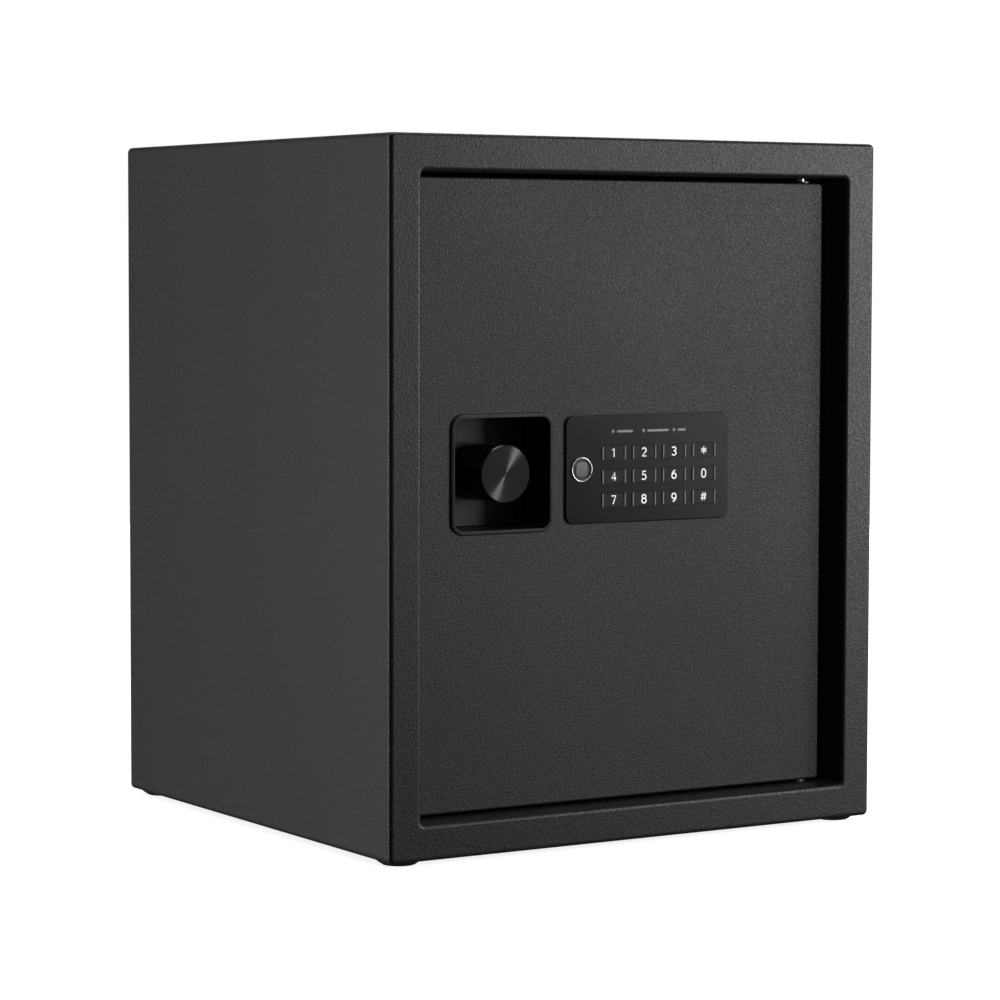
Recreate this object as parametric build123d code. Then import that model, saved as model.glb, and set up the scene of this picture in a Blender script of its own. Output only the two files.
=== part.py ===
"""Electronic safe: folded steel cabinet, recessed hinged door, knob-driven bolt work, keypad.

Millimetres. Row frame: +Z up, front of the safe towards -Y, +X to the right seen from the
front, origin on the floor under the middle of the bounding box. Pieces are written with
x from the left side, d behind the front plane and z above the floor; place() shifts them.
Rest pose: door closed, locking bolts drawn back.
"""

import os

from build123d import *

# ---------------------------------------------------------------- dimensions
W, D, H = 373.0, 365.0, 450.0  # cabinet without its feet
FOOT = 3.0  # height of the rubber feet
BASE, TOP = FOOT, FOOT + H

SHEET = 2.0  # wrap, jamb and back panel
CORNER = 3.5  # cabinet corner radius
OPEN = (23.0, 350.0, 25.8, 429.8)  # door opening: x0, x1, z0, z1
DOOR = (25.3, 347.5, 27.2, 427.0)  # door panel: x0, x1, z0, z1
DOOR_FACE = 23.0  # recess of the door's front face
DOOR_BACK = 26.0  # back of the door's front sheet

HINGE_X, HINGE_D = 334.6, 32.0
CUP_X, CUP_Z = 95.3, 240.8  # knob axis
PAD_X, PAD_Z = 206.3, 241.4  # middle of the keypad
PAD_FACE = 21.6
CRANK = 14.142  # cam pin radius: 20 mm stroke in 90 degrees
BOLT_D, BOLT_R = 51.0, 9.0
BOLT_Z = {"upper": 352.0, "lower": 128.0}
PLUNGER_X, PLUNGER_D = 170.0, 61.25
KEY_COLS = [179.3, 202.95, 226.6, 250.25]
KEY_ROWS = [251.7, 236.5, 221.3]
KEYS = [
    ["1", "2", "3", "star"],
    ["4", "5", "6", "0"],
    ["7", "8", "9", "hash"],
]
FINGER_X, FINGER_Z = 154.5, 241.6
BACK_ANCHORS = [(x, z) for x in (86.5, 286.5) for z in (118.0, 338.0)]
FLOOR_ANCHORS = [(x, d) for x in (76.5, 296.5) for d in (120.0, 280.0)]
FEET = [(x, d) for x in (17.0, 356.0) for d in (18.2, 347.0)]


# ---------------------------------------------------------------- helpers
def place(x, d, z):
    return (x - W / 2, d - D / 2, z)


def block(x0, x1, d0, d1, z0, z1):
    return Pos(*place((x0 + x1) / 2, (d0 + d1) / 2, (z0 + z1) / 2)) * Box(x1 - x0, d1 - d0, z1 - z0)


def prism(outline, x, z, d0, d1):
    """An outline seen from the front, run from depth d0 to d1."""
    back = Plane(origin=place(x, d1, z), x_dir=(1, 0, 0), z_dir=(0, -1, 0))
    return extrude(back * outline, amount=d1 - d0)


def rounded(x0, x1, z0, z1, r, d0, d1):
    return prism(RectangleRounded(x1 - x0, z1 - z0, r), (x0 + x1) / 2, (z0 + z1) / 2, d0, d1)


def rod_d(x, z, r, d0, d1):
    return prism(Circle(r), x, z, d0, d1)


def rod_x(d, z, r, x0, x1):
    left = Plane(origin=place(x0, d, z), x_dir=(0, 1, 0), z_dir=(1, 0, 0))
    return extrude(left * Circle(r), amount=x1 - x0)


def rod_z(x, d, r, z0, z1):
    low = Plane(origin=place(x, d, z0), x_dir=(1, 0, 0), z_dir=(0, 0, 1))
    return extrude(low * Circle(r), amount=z1 - z0)


def front_edges(part):
    return part.faces().sort_by(Axis.Y)[0].edges()


def back_edges(part):
    return part.faces().sort_by(Axis.Y)[-1].edges()


def grown(box, m):
    x0, x1, z0, z1 = box
    return (x0 - m, x1 + m, z0 - m, z1 + m)


parts = {}

# ---------------------------------------------------------------- cabinet
shell = rounded(0, W, BASE, TOP, CORNER, 3.8, D)
shell = fillet(back_edges(shell), 2.8)
hollow = rounded(SHEET, W - SHEET, BASE + SHEET, TOP - SHEET, CORNER - SHEET, 0, D - SHEET)
wrap = shell - hollow - rounded(14, W - 14, BASE + 14, TOP - 14, 3, D - 10, D + 5)
for x, d in FLOOR_ANCHORS:
    wrap -= rod_z(x, d, 6, 0, 10)
for x, d in FEET:
    wrap -= rod_z(x, d, 2, 0, 10)
parts["body_wrap"] = wrap

back = rounded(4, W - 4, BASE + 4, TOP - 4, 4, D - 2 * SHEET, D - SHEET)
for x, z in BACK_ANCHORS:
    back -= rod_d(x, z, 6, D - 10, D)
parts["back_panel"] = back

frame = rounded(0, W, BASE, TOP, CORNER, 0, 3)
frame += rounded(SHEET, W - SHEET, BASE + SHEET, TOP - SHEET, CORNER - SHEET, 3, 14) - rounded(
    4, W - 4, BASE + 4, TOP - 4, 1, 3, 15
)
frame += rounded(*grown(OPEN, SHEET), 4.5, 3, 40.5)
frame += rounded(*grown(OPEN, 14), 6, 38.5, 40.5)
frame -= rounded(*OPEN, 2.5, -1, 42)
frame = fillet(front_edges(frame), 2.8)
frame -= rod_z(HINGE_X, HINGE_D, 4, 20, 440)
parts["front_frame"] = frame

mat = block(4, W - 4, 44, 360, BASE + SHEET, BASE + SHEET + 3)
mat = fillet(mat.edges().filter_by(Axis.Z), 5)
for x, d in FLOOR_ANCHORS:
    mat -= rod_z(x, d, 10, 0, 20)
for x, d in FEET:
    if d > 100:
        mat -= rod_z(x, d, 8, 0, 20)
parts["floor_mat"] = mat

ledges = []
for d in (110.0, 290.0):
    for side in (0, 1):
        ledge = block(2, 18, d, d + 40, 229, 231) + block(2, 4, d, d + 40, 211, 229)
        ledge = fillet(ledge.edges().filter_by(Axis.Z).sort_by(Axis.X)[-2:], 4)
        if side:
            ledge = mirror(ledge, about=Plane.YZ)
        ledges.append(ledge)
parts["shelf_brackets"] = Compound(children=ledges)

feet, foot_screws = [], []
for x, d in FEET:
    foot = rod_z(x, d, 14, 0, FOOT)
    rim = foot.edges().sort_by(Axis.Z)[0]
    foot = chamfer(rim, 3.6, 2.4, reference=foot.faces().sort_by(Axis.Z)[0])
    foot -= rod_z(x, d, 4.5, 0, 1.6) + rod_z(x, d, 2, 1.6, FOOT)
    feet.append(foot)
    screw = rod_z(x, d, 4, 0.6, 1.6) + rod_z(x, d, 2, 1.6, 10)
    nut = Plane(origin=place(x, d, BASE + SHEET)) * RegularPolygon(3.8, 6)
    foot_screws.append(screw + extrude(nut, amount=3))
parts["rubber_feet"] = Compound(children=feet)
parts["foot_screws"] = Compound(children=foot_screws)

# hinge brackets and pins, fixed to the frame
x0, x1 = HINGE_X - 15, HINGE_X + 12
upper = block(x0, x1, 18, 38.5, OPEN[3] + SHEET, 448)
parts["upper_hinge_bracket"] = upper - rod_z(HINGE_X, HINGE_D, 4, 425, 450)
lower = block(x0, x1, 18, 38.5, 5, OPEN[2] - SHEET)
parts["lower_hinge_bracket"] = lower - rod_z(HINGE_X, HINGE_D, 4, 8, 26)
pin = rod_z(HINGE_X, HINGE_D, 4, 410.5, 448) + rod_z(HINGE_X, HINGE_D, 5.6, 448, 450)
parts["upper_hinge_pin"] = chamfer(pin.edges().sort_by(Axis.Z)[0], 0.8)
pin = rod_z(HINGE_X, HINGE_D, 4, 8, 43.5)
parts["lower_hinge_pin"] = chamfer(pin.edges().sort_by(Axis.Z)[-1], 0.8)

# ---------------------------------------------------------------- shelf
shelf = block(5, W - 5, 95, 357, 231, 232.5)
shelf += block(5, W - 5, 95, 96.5, 217, 231) + block(5, W - 5, 355.5, 357, 217, 231)
shelf = fillet(shelf.edges().filter_by(Axis.X).group_by(Axis.Z)[-1], 1.2)
parts["shelf"] = shelf

# ---------------------------------------------------------------- door panel and hinges
door = rounded(*DOOR, 3, DOOR_FACE, 38)
door = fillet(front_edges(door), 1.6)
door -= rounded(*grown(DOOR, -2.5), 1, DOOR_BACK, 39)
door -= prism(RectangleRounded(74.4, 74.4, 8), CUP_X, CUP_Z, 20, 30)
door -= prism(RectangleRounded(121, 63, 3), PAD_X, PAD_Z, 20, 30)
door -= rod_z(HINGE_X, HINGE_D, 5.5, 20, 50) + rod_z(HINGE_X, HINGE_D, 5.5, 400, 440)

COVER_SCREWS = [(x, z) for x in (34, 317) for z in (60, 227, 394)] + [(175, 37), (175, 417)]
for x, z in COVER_SCREWS:
    door -= rod_d(x, z, 2, 23.8, 27)
parts["door_panel"] = door

x0, x1 = HINGE_X - 11, DOOR[1] - 2.5
blocks = [
    rounded(x0, x1, 403, DOOR[3] - 2.5, 1, DOOR_BACK, 42) - rod_z(HINGE_X, HINGE_D, 5.5, 407, 430),
    rounded(x0, x1, DOOR[2] + 2.5, 50, 1, DOOR_BACK, 42) - rod_z(HINGE_X, HINGE_D, 5.5, 20, 46),
]
parts["hinge_blocks"] = Compound(children=blocks)
bush = rod_z(HINGE_X, HINGE_D, 5.5, 407, DOOR[3]) + rod_z(HINGE_X, HINGE_D, 7, DOOR[3], 428.2)
parts["upper_hinge_bush"] = bush - rod_z(HINGE_X, HINGE_D, 4.05, 400, 430)
bush = rod_z(HINGE_X, HINGE_D, 5.5, DOOR[2], 46) + rod_z(HINGE_X, HINGE_D, 7, OPEN[2], DOOR[2])
parts["lower_hinge_bush"] = bush - rod_z(HINGE_X, HINGE_D, 4.05, 20, 50)

# ---------------------------------------------------------------- inner cover
CELL_BAY = (216.5, 279.5, 61.5, 120.5)
RESET_X, RESET_Z = 250.0, 180.0
cover = fillet(back_edges(rounded(38, 313, 41, 413, 4, DOOR_BACK, 73.5)), 1.2)
cover += rounded(30, 321, 33, 421, 3, DOOR_BACK, 27.5)
cover -= rounded(39.5, 311.5, 42.5, 411.5, 2.5, 20, 72)
cover -= rounded(*CELL_BAY, 3, 70, 75) + rod_d(RESET_X, RESET_Z, 3.3, 70, 75)
for z in BOLT_Z.values():
    cover -= rod_x(BOLT_D, z, 9.6, 30, 45)
for x, z in COVER_SCREWS:
    cover -= rod_d(x, z, 2, 20, 30)
parts["door_inner_cover"] = cover

screws = []
for x, z in COVER_SCREWS:
    head = rod_d(x, z, 3.6, 27.5, 29.5)
    head = fillet(back_edges(head), 0.9) - prism(RegularPolygon(1.5, 6), x, z, 28.3, 30)
    screws.append(head + rod_d(x, z, 2, 23.8, 27.5))
parts["inner_cover_screws"] = Compound(children=screws)

# ---------------------------------------------------------------- finger cup and knob
lip = prism(RectangleRounded(76.6, 76.6, 9.3), CUP_X, CUP_Z, 21.6, DOOR_FACE)
lip = fillet(front_edges(lip), 1.1)
lip -= prism(
    RectangleRounded(74, 74, 8) - RectangleRounded(72.8, 72.8, 7.2), CUP_X, CUP_Z, 20, 22.3
)
cup = lip
cup += prism(RectangleRounded(74.4, 74.4, 8), CUP_X, CUP_Z, DOOR_FACE, 58.5)
well = prism(RectangleRounded(71.4, 71.4, 6.5), CUP_X, CUP_Z, 20, 57)
cup -= fillet(back_edges(well), 1.5)
cup -= rod_d(CUP_X, CUP_Z, 6.5, 50, 60)
parts["knob_cup"] = cup

bush = rod_d(CUP_X, CUP_Z, 9, 55.5, 57) + rod_d(CUP_X, CUP_Z, 6.5, 57, 59.5)
parts["spindle_bush"] = bush - rod_d(CUP_X, CUP_Z, 4.05, 50, 60)

knob = rod_d(CUP_X, CUP_Z, 18.35, 18.5, 52)
knob = chamfer(knob.edges().sort_by(Axis.Y)[0], 0.7)
knob = fillet(knob.edges().sort_by(Axis.Y)[-1], 1.0)
parts["knob"] = knob - rod_d(CUP_X, CUP_Z, 4, 40, 53)
spindle = rod_d(CUP_X, CUP_Z, 4, 40, 70) + rod_d(CUP_X, CUP_Z, 6, 67, 68.5)
parts["knob_spindle"] = chamfer(spindle.edges().sort_by(Axis.Y)[-1], 0.6)

PIN_X, PIN_Z = CUP_X + CRANK * 2**-0.5, CUP_Z + CRANK * 2**-0.5
arm = prism(
    Rot(0, 0, 45) * SlotCenterToCenter(CRANK, 13), (CUP_X + PIN_X) / 2, (CUP_Z + PIN_Z) / 2, 64, 67
)
arm += rod_d(CUP_X, CUP_Z, 9.5, 64, 67)
parts["cam_plate"] = arm - rod_d(CUP_X, CUP_Z, 4, 60, 70) - rod_d(PIN_X, PIN_Z, 3, 60, 70)
parts["cam_pin"] = chamfer(rod_d(PIN_X, PIN_Z, 3, 59.6, 67).edges().sort_by(Axis.Y)[0], 0.4)

# ---------------------------------------------------------------- bolt work
GUIDE_STUDS = [(96.0, 175.0), (96.0, 305.0)]
BOLT_SCREWS = [(x, z) for z in BOLT_Z.values() for x in (72.0, 84.0)]
plate = rounded(62, 128, 112, 368, 5, 60, 62.5) + rounded(110, 206, 288, 303, 2, 60, 62.5)
plate -= rounded(CUP_X - 4.6, CUP_X + 24.6, CUP_Z - 4.6, CUP_Z + 4.6, 4.5, 58, 64)
plate -= block(PIN_X - 3.6, PIN_X + 3.6, 58, 64, CUP_Z, CUP_Z + CRANK + 3.6)
for x, z in GUIDE_STUDS:
    plate -= rounded(x - 4.4, x + 24.4, z - 4.4, z + 4.4, 4.3, 58, 64)
for x in (PLUNGER_X, PLUNGER_X + 20):
    plate -= block(x - 4.5, x + 4.5, 58, 64, 296, 305)
for x, z in BOLT_SCREWS:
    plate -= rod_d(x, z, 2.5, 58, 64)
parts["bolt_carriage"] = plate

bolt_screws = []
for x, z in BOLT_SCREWS:
    head = rod_d(x, z, 4.2, 62.5, 65) - prism(RegularPolygon(2, 6), x, z, 63.5, 66)
    bolt_screws.append(head + rod_d(x, z, 2.5, 53, 62.5))
parts["bolt_screws"] = Compound(children=bolt_screws)

for name, z in BOLT_Z.items():
    bolt = rod_x(BOLT_D, z, BOLT_R, 26, 92)
    bolt = chamfer(bolt.edges().filter_by(GeomType.CIRCLE), 1.2)
    for x, sz in BOLT_SCREWS:
        if sz == z:
            bolt -= rod_d(x, z, 2.5, 53, 62)
    parts[f"locking_bolt_{name}"] = bolt
    guide = block(44, 60, DOOR_BACK, 57, z - 15, z + 15)
    parts[f"bolt_guide_{name}"] = guide - rod_x(BOLT_D, z, BOLT_R + 0.05, 40, 65)

studs = []
for x, z in GUIDE_STUDS:
    studs.append(rod_d(x, z, 4, DOOR_BACK, 63) + rod_d(x, z, 7, 63, 65.5))
parts["carriage_guide_studs"] = Compound(children=studs)

# ---------------------------------------------------------------- solenoid lock
x, d = PLUNGER_X, PLUNGER_D
yoke = block(x - 11.5, x + 11.5, 50.5, 71.5, 306, 340) - block(x - 12, x + 12, 52.5, 72, 308, 338)
yoke += block(x - 10, x + 10, DOOR_BACK, 50.5, 316, 330)
parts["solenoid_frame"] = yoke - rod_z(x, d, 4.4, 300, 310)
parts["solenoid_coil"] = rod_z(x, d, 8.7, 308, 338) - rod_z(x, d, 4.05, 308, 335)
plunger = rod_z(x, d, 4, 303.8, 331)
parts["solenoid_plunger"] = chamfer(plunger.edges().sort_by(Axis.Z)[0], 0.8)

# ---------------------------------------------------------------- keypad
fascia = prism(RectangleRounded(127.6, 69.7, 6), PAD_X, PAD_Z, PAD_FACE, DOOR_FACE)
fascia = fillet(front_edges(fascia), 0.7)
for row, z in zip(KEYS, KEY_ROWS):
    for x in KEY_COLS:
        fascia -= prism(RectangleRounded(19.0, 9.5, 1.4), x, z, 20, 25)
fascia -= rod_d(FINGER_X, FINGER_Z, 8, 20, 25)
LENSES = [(x, 265.5) for x in (178.5, 202.3, 226.2)]
for x, z in LENSES:
    fascia -= rod_d(x, z, 1.3, 20, 25)
parts["keypad_fascia"] = fascia

housing = prism(RectangleRounded(120.6, 62.6, 3), PAD_X, PAD_Z, DOOR_FACE, 44)
housing -= prism(RectangleRounded(117.4, 59.4, 1.5), PAD_X, PAD_Z, 20, 42.4)
for dx in (-50, 50):
    for dz in (-22, 22):
        housing += rod_d(PAD_X + dx, PAD_Z + dz, 3, 28.8, 42.4)
parts["keypad_housing"] = housing

mat = prism(RectangleRounded(115, 57, 2), PAD_X, PAD_Z, 26, 27.2)
board = prism(RectangleRounded(115, 57, 1), PAD_X, PAD_Z, 27.2, 28.8)
ring_gap = rod_d(FINGER_X, FINGER_Z, 7.2, 20, 32)
parts["key_mat"] = mat - ring_gap
board -= ring_gap
board += block(190, 204, 28.8, 30.6, 236, 250) + block(224, 250, 28.8, 33, 222, 230)
parts["control_board"] = board

lenses = []
for x, z in LENSES:
    lenses.append(fillet(front_edges(rod_d(x, z, 1.3, 21.2, 26)), 0.6))
parts["status_lenses"] = Compound(children=lenses)

ring = rod_d(FINGER_X, FINGER_Z, 8, 20.7, 23) - rod_d(FINGER_X, FINGER_Z, 7.05, 20, 24)
parts["fingerprint_ring"] = fillet(front_edges(ring), 0.4)
sensor = rod_d(FINGER_X, FINGER_Z, 7.05, 21.7, 23) + rod_d(FINGER_X, FINGER_Z, 6.6, 23, 30)
pad = prism(RectangleRounded(8.9, 9.6, 3), FINGER_X, FINGER_Z, 21.2, 21.7)
parts["fingerprint_sensor"] = sensor + fillet(front_edges(pad), 0.4)

for row, z in zip(KEYS, KEY_ROWS):
    for name, x in zip(row, KEY_COLS):
        # a dished cap between two low side ridges
        side = [(7.9, 21.35), (8.05, 21.1), (8.3, 20.8), (9.0, 20.8), (9.25, 21.2), (9.25, 25.0)]
        outline = [(-u, d) for u, d in reversed(side)] + side
        section = Plane(origin=place(x, 0, z - 4.5)) * Polygon(*outline, align=None)
        key = extrude(section, amount=9) & prism(RectangleRounded(18.5, 9, 1.2), x, z, 20, 26)
        key += prism(RectangleRounded(20.4, 10.8, 1.5), x, z, 23.3, 24.3)
        parts[f"key_{name}"] = key

# ---------------------------------------------------------------- power and reset
tray = rounded(*grown(CELL_BAY, 1.5), 4, 52, 72) - rounded(*CELL_BAY, 3, 53.5, 73)
parts["battery_box"] = tray
cells = []
for k in range(4):
    z, sign = 68.9 + 14.7 * k, 1 if k % 2 else -1
    cell = fillet(rod_x(60.8, z, 7.1, 223, 272.5).edges(), 0.6)
    nub = rod_x(60.8, z, 2.6, 272.5, 273.5) if sign > 0 else rod_x(60.8, z, 2.6, 222, 223)
    cells.append(cell + nub)
parts["battery_cells"] = Compound(children=cells)

lid = fillet(back_edges(rounded(*grown(CELL_BAY, 4.5), 5, 73.5, 75.5)), 1)
lid += rounded(*grown(CELL_BAY, -0.5), 2.5, 71.5, 73.5) - rounded(*grown(CELL_BAY, -2), 1.5, 71, 73.5)
parts["battery_cover"] = lid

x, z = RESET_X, RESET_Z
switch = block(x - 7, x + 7, 54, 66, z - 7, z + 7)
switch += block(x - 9, x - 7, 54, 72, z - 7, z + 7) + block(x + 7, x + 9, 54, 72, z - 7, z + 7)
parts["reset_switch"] = switch
button = fillet(back_edges(rod_d(x, z, 3, 68, 75)), 0.8) + rod_d(x, z, 4.5, 69.5, 71)
parts["reset_button"] = button


# ---------------------------------------------------------------- write
os.makedirs("parts", exist_ok=True)
for name, shape in parts.items():
    export_step(shape, f"parts/{name}.step")
print(len(parts), "nodes")
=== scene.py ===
"""Looks for the electronic safe: powder-coated cabinet, keypad, spun knob, felt mat, studio."""

import math

import bmesh
import bpy
from mathutils import Matrix, Vector, noise


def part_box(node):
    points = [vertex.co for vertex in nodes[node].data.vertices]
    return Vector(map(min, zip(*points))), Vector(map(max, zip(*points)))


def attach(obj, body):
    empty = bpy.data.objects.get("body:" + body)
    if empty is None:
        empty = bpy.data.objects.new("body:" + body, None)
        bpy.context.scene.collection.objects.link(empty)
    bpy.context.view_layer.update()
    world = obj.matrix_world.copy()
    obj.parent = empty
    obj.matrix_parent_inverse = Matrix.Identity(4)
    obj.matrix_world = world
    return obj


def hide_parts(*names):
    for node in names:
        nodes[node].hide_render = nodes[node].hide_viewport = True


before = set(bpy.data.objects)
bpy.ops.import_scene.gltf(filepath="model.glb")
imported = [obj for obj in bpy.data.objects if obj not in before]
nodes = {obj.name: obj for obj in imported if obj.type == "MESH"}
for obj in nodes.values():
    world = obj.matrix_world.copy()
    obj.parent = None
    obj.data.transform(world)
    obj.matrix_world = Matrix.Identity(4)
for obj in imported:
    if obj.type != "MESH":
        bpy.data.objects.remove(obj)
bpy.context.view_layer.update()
scene = bpy.context.scene
collection = scene.collection

MM = 0.001
KEY_NAMES = ["1", "2", "3", "star", "4", "5", "6", "0", "7", "8", "9", "hash"]


# ---------------------------------------------------------------- node helpers
class Shader:
    """A material whose nodes are added one by one."""

    def __init__(self, name, base, rough, metallic=0.0, specular=0.5, coat=0.0, coat_rough=0.1):
        self.mat = bpy.data.materials.new(name)
        self.mat.use_nodes = True
        self.tree = self.mat.node_tree
        self.bsdf = self.tree.nodes["Principled BSDF"]
        self.set("Base Color", (*base, 1.0))
        self.set("Roughness", rough)
        self.set("Metallic", metallic)
        self.set("Specular IOR Level", specular)
        self.set("Coat Weight", coat)
        self.set("Coat Roughness", coat_rough)
        self.mat.diffuse_color = (*base, 1.0)

    def set(self, socket, value):
        self.bsdf.inputs[socket].default_value = value

    def node(self, kind, **values):
        n = self.tree.nodes.new(kind)
        for key, value in values.items():
            if hasattr(n, key) and key not in n.inputs:
                setattr(n, key, value)
            else:
                n.inputs[key].default_value = value
        return n

    def link(self, a, b):
        self.tree.links.new(a, b)

    def coords(self, kind="Object"):
        return self.node("ShaderNodeTexCoord").outputs[kind]

    def noise(self, scale, detail=2.0, rough=0.5, source=None):
        n = self.node("ShaderNodeTexNoise", Scale=scale, Detail=detail, Roughness=rough)
        self.link(source or self.coords(), n.inputs["Vector"])
        return n.outputs["Fac"]

    def remap(self, value, low, high, to_low, to_high):
        n = self.node("ShaderNodeMapRange")
        for socket, v in zip((1, 2, 3, 4), (low, high, to_low, to_high)):
            n.inputs[socket].default_value = v
        self.link(value, n.inputs[0])
        return n.outputs[0]

    def mix(self, factor, a, b):
        n = self.node("ShaderNodeMix", data_type="RGBA")
        self.link(factor, n.inputs[0])
        for socket, colour in ((6, a), (7, b)):
            if isinstance(colour, tuple):
                n.inputs[socket].default_value = (*colour, 1.0)
            else:
                self.link(colour, n.inputs[socket])
        return n.outputs[2]

    def math(self, op, a, b=0.0):
        n = self.node("ShaderNodeMath", operation=op)
        for socket, v in zip((0, 1), (a, b)):
            if isinstance(v, (int, float)):
                n.inputs[socket].default_value = v
            else:
                self.link(v, n.inputs[socket])
        return n.outputs[0]

    def bump(self, height, strength, distance, after=None):
        n = self.node("ShaderNodeBump", Strength=strength, Distance=distance)
        self.link(height, n.inputs["Height"])
        if after:
            self.link(after, n.inputs["Normal"])
        self.link(n.outputs[0], self.bsdf.inputs["Normal"])
        return n.outputs[0]

    def colour(self, output):
        self.link(output, self.bsdf.inputs["Base Color"])

    def roughness(self, output):
        self.link(output, self.bsdf.inputs["Roughness"])


def tinted(base, factor):
    return tuple(c * factor for c in base)


def powder(name, base, rough, grain=620.0, depth=0.00022, contrast=0.35, gloss=0.10):
    """Fine-textured powder coat: pebbled bump, speckled tone and gloss, slow change of gloss."""
    s = Shader(name, base, rough)
    fine = s.noise(grain, 2.0, 0.6)
    coarse = s.noise(grain * 0.4, 2.0, 0.5)
    pebble = s.math("ADD", s.math("MULTIPLY", fine, 0.9), s.math("MULTIPLY", coarse, 0.1))
    tone = s.remap(pebble, 0.38, 0.62, 0.0, 1.0)
    s.colour(s.mix(tone, tinted(base, 1 - contrast), tinted(base, 1 + contrast)))
    slow = s.remap(s.noise(7.0, 2.0), 0.3, 0.7, rough - 0.02, rough + 0.03)
    speck = s.remap(s.noise(grain * 1.3, 1.0), 0.35, 0.65, -gloss, gloss)
    s.roughness(s.math("ADD", slow, speck))
    s.bump(pebble, 1.0, depth)
    return s.mat


def moulded(name, base, rough, grain=900.0, depth=0.00006, specular=0.5):
    """Moulded plastic: very fine spark-erosion grain and faint flow marks."""
    s = Shader(name, base, rough, specular=specular)
    fine = s.noise(grain, 2.0, 0.6)
    slow = s.noise(22.0, 3.0)
    s.colour(s.mix(slow, tinted(base, 0.88), tinted(base, 1.14)))
    s.roughness(s.remap(slow, 0.3, 0.7, rough - 0.04, rough + 0.05))
    s.bump(fine, 0.6, depth)
    return s.mat


def metal(name, base, rough, grain=(300.0, 300.0, 300.0), depth=0.00003, blotch=0.12, scale=60.0):
    """Plated or bare metal: drawn lines along the axis with the lowest grain, patchy plating."""
    s = Shader(name, base, rough, metallic=1.0)
    m = s.node("ShaderNodeMapping")
    m.inputs["Scale"].default_value = grain
    s.link(s.coords(), m.inputs["Vector"])
    lines = s.noise(1.0, 3.0, 0.6, m.outputs[0])
    patch = s.noise(scale, 4.0, 0.65)
    s.colour(s.mix(patch, tinted(base, 1 - blotch), tinted(base, 1 + blotch)))
    s.roughness(s.remap(patch, 0.3, 0.7, rough - 0.06, rough + 0.08))
    s.bump(lines, 0.5, depth)
    return s.mat


# ---------------------------------------------------------------- materials
INK = (0.78, 0.78, 0.78)
M = {}
M["side"] = powder("powder_side", (0.011, 0.011, 0.0113), 0.48, 900.0, 0.00026, 0.8)
M["front"] = powder("powder_front", (0.010, 0.010, 0.0102), 0.38, 820.0, 0.00020, 0.6)
M["door"] = powder("powder_door", (0.013, 0.013, 0.0132), 0.48, 860.0, 0.00030, 0.8)
M["inside"] = powder("powder_inside", (0.016, 0.016, 0.0165), 0.5, 620.0, 0.00025, 0.4)
M["rubber"] = moulded("foot_rubber", (0.012, 0.012, 0.012), 0.8, 500.0, 0.0001)
M["plastic"] = moulded("black_abs", (0.010, 0.010, 0.0105), 0.5)
M["cup"] = moulded("cup_abs", (0.008, 0.008, 0.008), 0.42)
M["zinc"] = metal("zinc_plate", (0.55, 0.56, 0.54), 0.36)
M["bright"] = metal("nickel_plate", (0.68, 0.68, 0.67), 0.2, (900.0, 900.0, 40.0))
M["bronze"] = metal("sintered_bronze", (0.5, 0.33, 0.15), 0.5)
M["iron"] = metal("sintered_iron", (0.10, 0.095, 0.09), 0.45)
M["red"] = moulded("red_plastic", (0.42, 0.015, 0.012), 0.35)
M["board"] = moulded("solder_mask", (0.02, 0.14, 0.05), 0.4)
M["silicone"] = moulded("silicone", (0.22, 0.22, 0.23), 0.6)
M["coil"] = moulded("coil_tape", (0.3, 0.17, 0.03), 0.5)


def fascia_material():
    """Glossy moulded fascia with a faint painted sheen: its colour grows lighter from bottom to top."""
    s = Shader("fascia_gloss", (0.012, 0.012, 0.012), 0.22, specular=0.16)
    low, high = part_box("keypad_fascia")
    z = s.node("ShaderNodeSeparateXYZ")
    s.link(s.coords(), z.inputs[0])
    # painted sheen: the fascia colour is made lighter towards the top, as light from above would make it
    painted_top_sheen = s.remap(z.outputs[2], low.z, high.z, 0.0, 1.0)
    s.colour(s.mix(painted_top_sheen, (0.0085, 0.0072, 0.0076), (0.021, 0.0245, 0.0235)))
    slow = s.noise(40.0, 2.0)
    s.roughness(s.remap(slow, 0.3, 0.7, 0.20, 0.25))
    s.bump(s.noise(1500.0, 1.0), 0.3, 0.00002)
    return s.mat


def key_material():
    """Satin key cap whose two side ridges are coloured silver grey, as print and as a painted highlight on
    their rounded edges.
    """
    s = Shader("key_cap", (0.010, 0.010, 0.011), 0.34, specular=0.22)
    u = s.node("ShaderNodeSeparateXYZ")
    s.link(s.coords("Generated"), u.inputs[0])
    off = s.math("ABSOLUTE", s.math("SUBTRACT", u.outputs[0], 0.5))
    ridge = s.remap(off, 0.392, 0.399, 0.0, 1.0)
    front = s.remap(u.outputs[1], 0.06, 0.14, 1.0, 0.0)
    # the silver grey on the ridges is print and also a painted highlight of their rounded edges
    ridge_print_and_highlight = s.math("MULTIPLY", ridge, front)
    cap = s.mix(s.noise(90.0, 2.0), (0.008, 0.008, 0.0085), (0.012, 0.012, 0.0125))
    s.colour(s.mix(ridge_print_and_highlight, cap, (0.42, 0.42, 0.42)))
    s.roughness(s.remap(s.noise(200.0), 0.3, 0.7, 0.34, 0.42))
    s.bump(s.noise(1400.0, 1.0), 0.3, 0.00002)
    return s.mat


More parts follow.
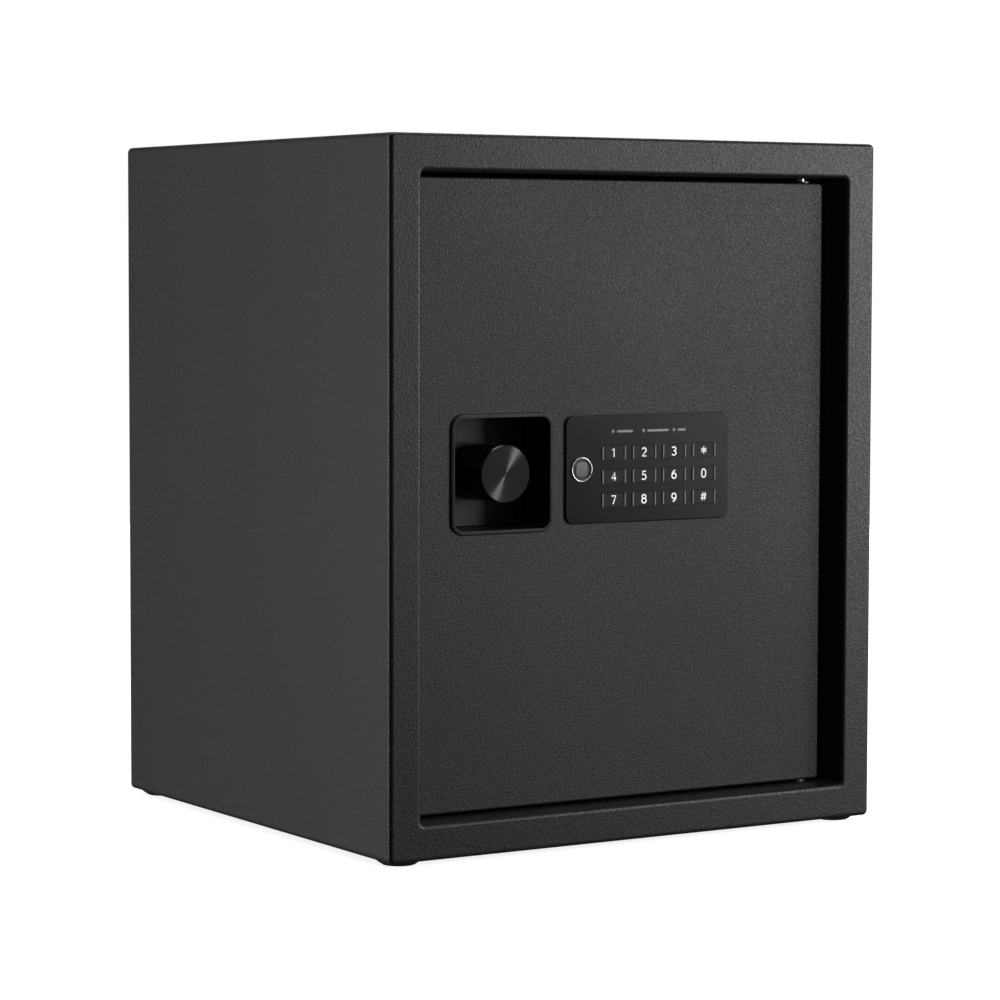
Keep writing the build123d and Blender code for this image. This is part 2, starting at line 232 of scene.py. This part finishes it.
def knob_material():
    """Black anodised metal with a spun face: grooves run round the knob's axis."""
    s = Shader("spun_metal", (0.10, 0.10, 0.10), 0.20, metallic=1.0)
    s.set("Anisotropic", 0.97)
    s.set("Anisotropic Rotation", 0.25)
    t = s.node("ShaderNodeTangent", direction_type="RADIAL", axis="Y")
    s.link(t.outputs[0], s.bsdf.inputs["Tangent"])
    low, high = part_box("knob")
    centre = (low + high) / 2
    shift = s.node("ShaderNodeVectorMath", operation="SUBTRACT")
    s.link(s.coords(), shift.inputs[0])
    shift.inputs[1].default_value = centre
    flat = s.node("ShaderNodeVectorMath", operation="MULTIPLY")
    s.link(shift.outputs[0], flat.inputs[0])
    flat.inputs[1].default_value = (1.0, 0.0, 1.0)
    length = s.node("ShaderNodeVectorMath", operation="LENGTH")
    s.link(flat.outputs[0], length.inputs[0])
    ring = s.node("ShaderNodeTexNoise", noise_dimensions="1D", Scale=4200.0, Detail=3.0)
    s.link(length.outputs["Value"], ring.inputs["W"])
    s.colour(s.mix(ring.outputs["Fac"], (0.07, 0.07, 0.07), (0.15, 0.15, 0.15)))
    s.bump(ring.outputs["Fac"], 0.10, 0.00002)
    return s.mat


def sensor_material():
    """Fingerprint reader: grey satin pad in a dark glossy dish, the pad painted lighter towards the top as a
    sheen.
    """
    s = Shader("reader_pad", (0.03, 0.03, 0.03), 0.25)
    low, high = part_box("fingerprint_sensor")
    xyz = s.node("ShaderNodeSeparateXYZ")
    s.link(s.coords(), xyz.inputs[0])
    proud = s.remap(xyz.outputs[1], low.y + 0.00035, low.y + 0.00045, 1.0, 0.0)
    # painted sheen: the pad's grey is made lighter towards the top
    painted_top_sheen = s.remap(xyz.outputs[2], low.z, high.z, 0.0, 1.0)
    pad = s.mix(painted_top_sheen, (0.10, 0.10, 0.105), (0.30, 0.30, 0.31))
    s.colour(s.mix(proud, (0.018, 0.018, 0.019), pad))
    s.roughness(s.remap(s.noise(300.0), 0.3, 0.7, 0.26, 0.36))
    s.bump(s.noise(1800.0, 1.0), 0.2, 0.00002)
    return s.mat


def polished(name, base, rough):
    s = Shader(name, base, rough, metallic=1.0)
    patch = s.noise(120.0, 3.0)
    s.colour(s.mix(patch, tinted(base, 0.92), tinted(base, 1.05)))
    s.roughness(s.remap(patch, 0.3, 0.7, rough - 0.04, rough + 0.05))
    return s.mat


def print_ink():
    """White key legends, slightly uneven and faintly lit from behind."""
    s = Shader("white_ink", INK, 0.55)
    s.set("Emission Color", (1, 1, 1, 1))
    s.set("Emission Strength", 0.65)
    s.colour(s.mix(s.noise(900.0, 3.0, 0.6), (0.70, 0.70, 0.70), (0.88, 0.88, 0.88)))
    s.bump(s.noise(2500.0, 1.0), 0.3, 0.00002)
    return s.mat


def lens_material():
    s = Shader("lens_grey", (0.42, 0.42, 0.42), 0.25)
    s.colour(s.mix(s.noise(500.0), (0.36, 0.36, 0.36), (0.48, 0.48, 0.48)))
    return s.mat


def sleeve_material():
    """Plain printed cell sleeve: dark body with a copper-coloured band at one end."""
    s = Shader("cell_sleeve", (0.02, 0.02, 0.025), 0.3)
    u = s.node("ShaderNodeSeparateXYZ")
    s.link(s.coords("Generated"), u.inputs[0])
    band = s.remap(u.outputs[0], 0.70, 0.705, 0.0, 1.0)
    s.colour(s.mix(band, (0.018, 0.018, 0.022), (0.45, 0.22, 0.08)))
    s.roughness(s.remap(s.noise(150.0), 0.3, 0.7, 0.26, 0.36))
    return s.mat


def felt_material():
    """Needle felt: matted fibres, faint pile direction and lint."""
    s = Shader("black_felt", (0.02, 0.02, 0.021), 0.95)
    s.set("Sheen Weight", 0.35)
    s.set("Sheen Roughness", 0.6)
    fibre = s.noise(900.0, 4.0, 0.75)
    clump = s.noise(120.0, 3.0, 0.6)
    both = s.math("ADD", s.math("MULTIPLY", fibre, 0.65), s.math("MULTIPLY", clump, 0.35))
    s.colour(s.mix(s.remap(both, 0.35, 0.65, 0.0, 1.0), (0.011, 0.011, 0.012), (0.040, 0.040, 0.042)))
    s.bump(both, 1.0, 0.0007)
    return s.mat


M["fascia"] = fascia_material()
M["key"] = key_material()
M["knob"] = knob_material()
M["sensor"] = sensor_material()
M["ring"] = polished("ring_chrome", (0.82, 0.82, 0.83), 0.16)
M["ink"] = print_ink()
M["lens"] = lens_material()
M["sleeve"] = sleeve_material()
M["felt"] = felt_material()

FINISH = {
    "body_wrap": "side",
    "front_frame": "front",
    "back_panel": "side",
    "shelf_brackets": "inside",
    "rubber_feet": "rubber",
    "foot_screws": "zinc",
    "upper_hinge_bracket": "inside",
    "lower_hinge_bracket": "inside",
    "upper_hinge_pin": "bright",
    "lower_hinge_pin": "bright",
    "door_panel": "door",
    "hinge_blocks": "inside",
    "upper_hinge_bush": "iron",
    "lower_hinge_bush": "iron",
    "door_inner_cover": "inside",
    "inner_cover_screws": "zinc",
    "knob_cup": "cup",
    "spindle_bush": "bronze",
    "bolt_guide_upper": "zinc",
    "bolt_guide_lower": "zinc",
    "carriage_guide_studs": "zinc",
    "solenoid_frame": "zinc",
    "solenoid_coil": "coil",
    "keypad_fascia": "fascia",
    "keypad_housing": "plastic",
    "key_mat": "silicone",
    "control_board": "board",
    "status_lenses": "lens",
    "fingerprint_ring": "ring",
    "fingerprint_sensor": "sensor",
    "battery_box": "plastic",
    "battery_cells": "sleeve",
    "reset_switch": "plastic",
    "knob": "knob",
    "knob_spindle": "bright",
    "cam_plate": "zinc",
    "cam_pin": "bright",
    "bolt_carriage": "zinc",
    "bolt_screws": "zinc",
    "locking_bolt_upper": "bright",
    "locking_bolt_lower": "bright",
    "solenoid_plunger": "bright",
    "shelf": "inside",
    "battery_cover": "plastic",
    "reset_button": "red",
}
for key in KEY_NAMES:
    FINISH["key_" + key] = "key"
for node, finish in FINISH.items():
    mesh = nodes[node].data
    mesh.materials.clear()
    mesh.materials.append(M[finish])


# ---------------------------------------------------------------- printed marks
def arc(cx, cz, rx, rz, start, stop, power=1.0):
    """Points on an ellipse, squared up where power is under 1."""
    points = []
    for k in range(25):
        a = math.radians(start + (stop - start) * k / 24)
        c, n = math.cos(a), math.sin(a)
        points.append(
            (cx + rx * math.copysign(abs(c) ** power, c), cz + rz * math.copysign(abs(n) ** power, n))
        )
    return points


SIX = [arc(1.00, 0.36, 0.99, 0.64, 104, 180), arc(0.5, 0.31, 0.49, 0.31, 180, 540, 0.9)]
STROKES = {
    "1": [[(0.16, 0.84), (0.56, 1.0), (0.56, 0.0)]],
    "2": [arc(0.48, 0.71, 0.46, 0.29, 160, -28) + [(0.03, 0.0), (0.98, 0.0)]],
    "3": [arc(0.42, 0.76, 0.46, 0.24, 150, -90) + arc(0.42, 0.26, 0.53, 0.26, 90, -145)],
    "4": [[(0.74, 0.0), (0.74, 1.0), (0.0, 0.29), (1.04, 0.29)]],
    "5": [[(0.92, 1.0), (0.20, 1.0), (0.14, 0.58)] + arc(0.42, 0.31, 0.54, 0.31, 118, -140)],
    "6": SIX,
    "7": [[(0.0, 1.0), (0.98, 1.0), (0.36, 0.0)]],
    "8": [arc(0.5, 0.77, 0.42, 0.23, 0, 360, 0.9), arc(0.5, 0.27, 0.5, 0.27, 0, 360, 0.9)],
    "9": [[(1 - u, 1 - w) for u, w in line] for line in SIX],
    "0": [arc(0.5, 0.5, 0.48, 0.5, 0, 360, 0.8)],
    "star": [[(0.5, 0.0), (0.5, 1.0)], [(0.03, 0.27), (0.97, 0.73)], [(0.03, 0.73), (0.97, 0.27)]],
    "hash": [
        [(0.42, 1.0), (0.22, 0.0)],
        [(0.82, 1.0), (0.62, 0.0)],
        [(0.04, 0.68), (1.0, 0.68)],
        [(0.0, 0.32), (0.96, 0.32)],
    ],
}


def printed(name, lines, wide, tall, pen, x, y, z, body):
    """One printed character as a thin raised layer of ink that faces -Y at depth y."""
    curve = bpy.data.curves.new(name, "CURVE")
    curve.dimensions = "3D"
    curve.bevel_depth, curve.bevel_resolution, curve.use_fill_caps = pen / 2, 3, True
    for line in lines:
        spline = curve.splines.new("POLY")
        spline.use_cyclic_u = line[0] == line[-1] or (Vector(line[0]) - Vector(line[-1])).length < 1e-6
        shown = line[:-1] if spline.use_cyclic_u else line
        spline.points.add(len(shown) - 1)
        for point, (u, w) in zip(spline.points, shown):
            point.co = ((u - 0.5) * wide, 0, (w - 0.5) * tall, 1)
    temp = bpy.data.objects.new(name + "_curve", curve)
    collection.objects.link(temp)
    bpy.context.view_layer.update()
    mesh = bpy.data.meshes.new_from_object(temp.evaluated_get(bpy.context.evaluated_depsgraph_get()))
    bpy.data.objects.remove(temp)
    mesh.transform(Matrix.Translation((x, y, z)) @ Matrix.Diagonal((1, 0.1, 1, 1)))
    mesh.materials.clear()
    mesh.materials.append(M["ink"])
    obj = bpy.data.objects.new(name, mesh)
    collection.objects.link(obj)
    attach(obj, body)


DISH = 0.55 * MM  # the dished face lies this far behind the ridges
for key in KEY_NAMES:
    low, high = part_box("key_" + key)
    x, z = (low.x + high.x) / 2, (low.z + high.z) / 2
    wide, tall = {"star": (4.5, 4.9), "hash": (4.5, 5.2)}.get(key, (3.3, 5.3))
    pen = 0.7 if key in ("star", "hash") else 0.92
    printed(
        "numeral_" + key, STROKES[key], wide * MM, tall * MM, pen * MM, x, low.y + DISH, z, "button_" + key
    )


def bar(name, x0, x1, z, tall, y, body):
    """A thin rounded ink bar beside a status lens, in place of a word."""
    bm = bmesh.new()
    r, outline = tall / 2, []
    for cx, start in ((x1 - r, -90), (x0 + r, 90)):
        for k in range(9):
            a = math.radians(start + 180 * k / 8)
            outline.append((cx + r * math.cos(a), z + r * math.sin(a)))
    face = bm.faces.new([bm.verts.new((u, y, w)) for u, w in outline])
    top = bmesh.ops.extrude_face_region(bm, geom=[face])["geom"]
    bmesh.ops.translate(bm, verts=[v for v in top if isinstance(v, bmesh.types.BMVert)], vec=(0, -0.00006, 0))
    bmesh.ops.recalc_face_normals(bm, faces=bm.faces)
    mesh = bpy.data.meshes.new(name)
    bm.to_mesh(mesh)
    obj = bpy.data.objects.new(name, mesh)
    collection.objects.link(obj)
    mesh.materials.append(M["lens"])
    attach(obj, body)


fascia_low, fascia_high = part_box("keypad_fascia")
lens_low, lens_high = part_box("status_lenses")
lens_z = (lens_low.z + lens_high.z) / 2
lens_left = lens_low.x + 1.3 * MM
for name, start, length in (("a", 0.0, 12.5), ("b", 23.8, 17.0), ("c", 47.7, 6.5)):
    x0 = lens_left + (start + 3.2) * MM
    bar("status_bar_" + name, x0, x0 + length * MM, lens_z, 1.5 * MM, fascia_low.y, "door")


# ---------------------------------------------------------------- felt mat
def felt_mat():
    """The mat as a thick sheet with soft rounded edges and a slight wave."""
    low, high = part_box("floor_mat")
    w, l, t = high.x - low.x, high.y - low.y, high.z - low.z
    nx, ny = 74, 64
    bm = bmesh.new()
    rows = []
    for j in range(ny + 1):
        row = []
        for i in range(nx + 1):
            x = low.x + 0.0012 + (w - 0.0024) * i / nx
            y = low.y + 0.0012 + (l - 0.0024) * j / ny
            row.append(bm.verts.new((x, y, low.z)))
        rows.append(row)
    for j in range(ny):
        for i in range(nx):
            bm.faces.new((rows[j][i], rows[j][i + 1], rows[j + 1][i + 1], rows[j + 1][i]))
    holes = [(sx * 0.11, -0.0625 + 0.16 * k, 0.010) for sx in (-1, 1) for k in (0, 1)]
    holes += [(sx * 0.1695, 0.1645, 0.008) for sx in (-1, 1)]
    for x, y, r in holes:
        near = r - 0.0015
        hole = [f for f in bm.faces if (f.calc_center_median().xy - Vector((x, y))).length < near]
        bmesh.ops.delete(bm, geom=hole, context="FACES")
    for v in list(bm.verts):
        if not v.link_faces:
            bm.verts.remove(v)
    for x, y, r in holes:
        for v in bm.verts:
            off = v.co.xy - Vector((x, y))
            if v.is_boundary and off.length < r + 0.0032:
                v.co.xy = Vector((x, y)) + off.normalized() * r
    top = bmesh.ops.extrude_face_region(bm, geom=list(bm.faces))["geom"]
    for v in top:
        if isinstance(v, bmesh.types.BMVert):
            wave = noise.noise(Vector((v.co.x * 16, v.co.y * 16, 0.3)))
            edge = min(v.co.x - low.x, high.x - v.co.x, v.co.y - low.y, high.y - v.co.y)
            v.co.z = low.z + t * (0.86 + 0.10 * wave) - (0.0006 if edge < 0.004 else 0.0)
    bmesh.ops.recalc_face_normals(bm, faces=bm.faces)
    mesh = bpy.data.meshes.new("felt_mat")
    bm.to_mesh(mesh)
    for p in mesh.polygons:
        p.use_smooth = True
    obj = bpy.data.objects.new("felt_mat", mesh)
    collection.objects.link(obj)
    mesh.materials.append(M["felt"])
    sub = obj.modifiers.new("soften", "SUBSURF")
    sub.levels = sub.render_levels = 1
    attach(obj, "cabinet")
    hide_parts("floor_mat")


felt_mat()


# ---------------------------------------------------------------- stage, light, camera
def area(name, place, aim, size, energy, colour=(1, 1, 1)):
    light = bpy.data.lights.new(name, "AREA")
    light.shape, light.size, light.size_y = "RECTANGLE", size[0], size[1]
    light.energy, light.color = energy, colour
    obj = bpy.data.objects.new(name, light)
    collection.objects.link(obj)
    obj.location = place
    obj.rotation_euler = (Vector(aim) - Vector(place)).to_track_quat("-Z", "Y").to_euler()
    return obj


def node_set(name, members, excluded=False):
    """A collection of nodes for light linking, which a lamp either picks out or leaves out."""
    group = bpy.data.collections.new(name)
    for member in members:
        group.objects.link(nodes[member])
    if excluded:
        for item in group.collection_objects:
            item.light_linking.link_state = "EXCLUDE"
    return group


# The door sits deep in its frame, so the frame doesn't shade the key lamp, and the spun knob
# face mirrors one small lamp instead of the wide key.
key_lamp = area("key", (2.1, -1.9, 0.80), (0, -0.15, 0.23), (1.4, 1.9), 44)
key_lamp.light_linking.blocker_collection = node_set("unshaded", ["front_frame"], excluded=True)
key_lamp.light_linking.receiver_collection = node_set("unlit_knob", ["knob"], excluded=True)
area("side", (-2.1, 1.05, 0.2), (-0.18, -0.15, 0.2), (1.0, 1.8), 21)
knob_lamp = area("knob_lamp", (2.1, -1.9, 1.22), (-0.09, -0.15, 0.24), (0.5, 0.5), 55)
knob_lamp.light_linking.receiver_collection = node_set("only_knob", ["knob"])
area("top", (0.1, 0.1, 2.6), (0, 0, 0.2), (2.2, 2.2), 26)
area("back_fill", (1.7, 2.3, 1.3), (0, 0, 0.22), (1.6, 1.6), 30)

# A soft front lamp for what an open door shows.
INTERIOR = [
    "body_wrap",
    "back_panel",
    "shelf",
    "shelf_brackets",
    "door_inner_cover",
    "battery_box",
    "battery_cover",
    "reset_button",
    "locking_bolt_upper",
    "locking_bolt_lower",
]
interior_lamp = area("interior", (-1.1, -2.0, 1.1), (0.0, 0.0, 0.2), (1.4, 1.4), 70)
interior_lamp.light_linking.receiver_collection = node_set("interior", INTERIOR)


def studio_floor():
    bm = bmesh.new()
    bmesh.ops.create_circle(bm, cap_ends=True, segments=96, radius=2.6)
    mesh = bpy.data.meshes.new("studio_floor")
    bm.to_mesh(mesh)
    obj = bpy.data.objects.new("studio_floor", mesh)
    collection.objects.link(obj)
    s = Shader("floor_white", (0.8, 0.8, 0.8), 0.9)
    s.colour(s.mix(s.noise(3.0), (0.79, 0.79, 0.79), (0.81, 0.81, 0.81)))
    s.set("Emission Color", (1, 1, 1, 1))
    s.set("Emission Strength", 0.85)
    mesh.materials.append(s.mat)
    obj.visible_glossy = obj.visible_diffuse = obj.visible_shadow = False


studio_floor()

# Soft walls of light round the set: azimuth from the front towards the right, focus, strength.
AMBIENT = 0.03
WALLS = [(45, 4.0, 0.16), (-155, 4.0, 0.10)]

world = bpy.data.worlds.new("studio")
scene.world = world
world.use_nodes = True
tree = world.node_tree
background = tree.nodes["Background"]
path = tree.nodes.new("ShaderNodeLightPath")
ray = tree.nodes.new("ShaderNodeTexCoord").outputs["Generated"]


def world_node(kind, operation, a, b):
    n = tree.nodes.new(kind)
    n.operation = operation
    for socket, v in zip((0, 1), (a, b)):
        if isinstance(v, (int, float, tuple)):
            n.inputs[socket].default_value = v
        else:
            tree.links.new(v, n.inputs[socket])
    scalar = operation == "DOT_PRODUCT" or kind == "ShaderNodeMath"
    return n.outputs["Value"] if scalar else n.outputs[0]


level_ray = world_node("ShaderNodeVectorMath", "MULTIPLY", ray, (1.0, 1.0, 0.0))
level_ray = world_node("ShaderNodeVectorMath", "NORMALIZE", level_ray, (0.0, 0.0, 0.0))
glow = world_node("ShaderNodeMath", "ADD", 0.0, AMBIENT)
for azimuth, power, strength in WALLS:
    a = math.radians(azimuth)
    toward = (math.sin(a), -math.cos(a), 0.0)
    lobe = world_node("ShaderNodeVectorMath", "DOT_PRODUCT", level_ray, toward)
    lobe = world_node("ShaderNodeMath", "MAXIMUM", lobe, 0.0)
    lobe = world_node("ShaderNodeMath", "POWER", lobe, power)
    lobe = world_node("ShaderNodeMath", "MULTIPLY", lobe, strength)
    glow = world_node("ShaderNodeMath", "ADD", glow, lobe)
white = world_node("ShaderNodeMath", "MAXIMUM", glow, path.outputs["Is Camera Ray"])
tree.links.new(white, background.inputs["Color"])
scene.view_settings.view_transform = "Standard"

YAW, PITCH, ROLL = math.radians(32.049), math.radians(3.972), math.radians(0.137)
camera = bpy.data.cameras.new("camera")
camera.sensor_width, camera.lens = 36.0, 36.0 * 3.4128
eye = bpy.data.objects.new("camera", camera)
collection.objects.link(eye)
forward = Vector((math.sin(YAW) * math.cos(PITCH), math.cos(YAW) * math.cos(PITCH), -math.sin(PITCH)))
level = Vector((math.cos(YAW), -math.sin(YAW), 0))
up = level.cross(forward)
right = level * math.cos(ROLL) + up * math.sin(ROLL)
up = right.cross(forward)
eye.matrix_world = Matrix.Translation((-1.23424, -1.98297, 0.37354)) @ Matrix(
    (right, up, -forward)
).transposed().to_4x4()
camera.clip_start, camera.clip_end = 0.05, 50
scene.camera = eye
